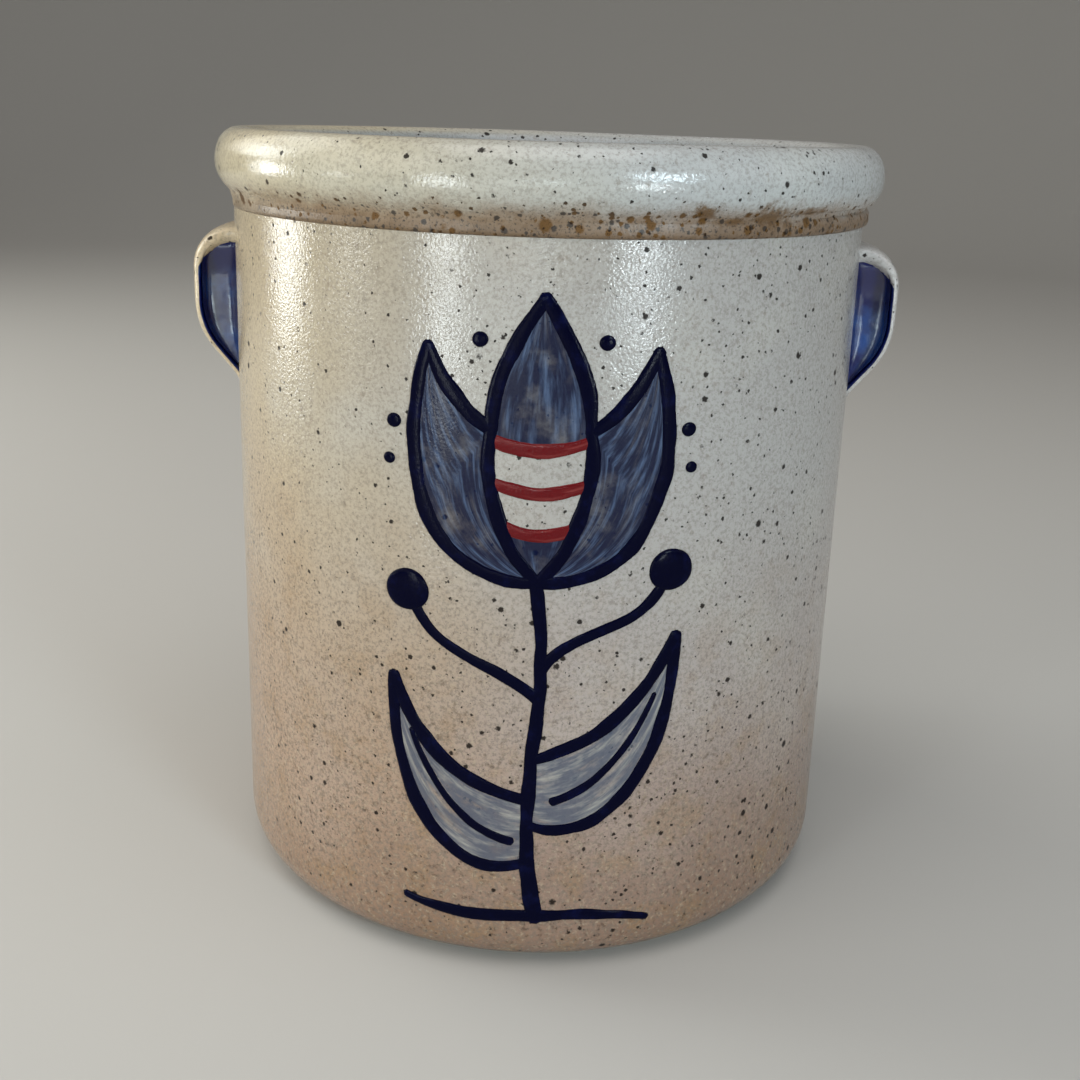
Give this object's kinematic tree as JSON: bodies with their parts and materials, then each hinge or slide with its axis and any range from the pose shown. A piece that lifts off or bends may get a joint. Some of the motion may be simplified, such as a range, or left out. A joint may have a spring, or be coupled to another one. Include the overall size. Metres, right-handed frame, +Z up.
{
  "type": "stoneware crock",
  "caption": "Straight-sided salt-glazed stoneware crock with a rolled rim, two small ear handles and a raised cobalt tulip on the front, for keeping food or kitchen tools.",
  "frame": {"origin": "middle of the underside, on the surface that the crock stands on", "axes": "+Z up along the crock's axis, the handles on +X and -X, the drawing facing -Y"},
  "size_m": [0.1726, 0.16, 0.181],
  "materials": {
    "stoneware_glaze": "speckled grey salt glaze, orange-peel gloss",
    "toasted_glaze": "toasted brown salt glaze",
    "handle_glaze": "glossy cobalt in the scoops, bare grey glaze on the outside",
    "cobalt_slip": "glossy raised cobalt slip",
    "brick_slip": "satin iron-red slip"
  },
  "bodies": {
    "root": {"floor_slab": "stoneware_glaze", "wall": "stoneware_glaze", "under_band": "toasted_glaze", "rim_roll": "stoneware_glaze", "left_handle": "handle_glaze", "right_handle": "handle_glaze", "slip_stem": "cobalt_slip", "slip_leaves": "cobalt_slip", "slip_bloom": "cobalt_slip", "slip_bands": "brick_slip", "slip_buds": "cobalt_slip", "slip_dots": "cobalt_slip", "slip_ground": "cobalt_slip"}
  },
  "joints": []
}
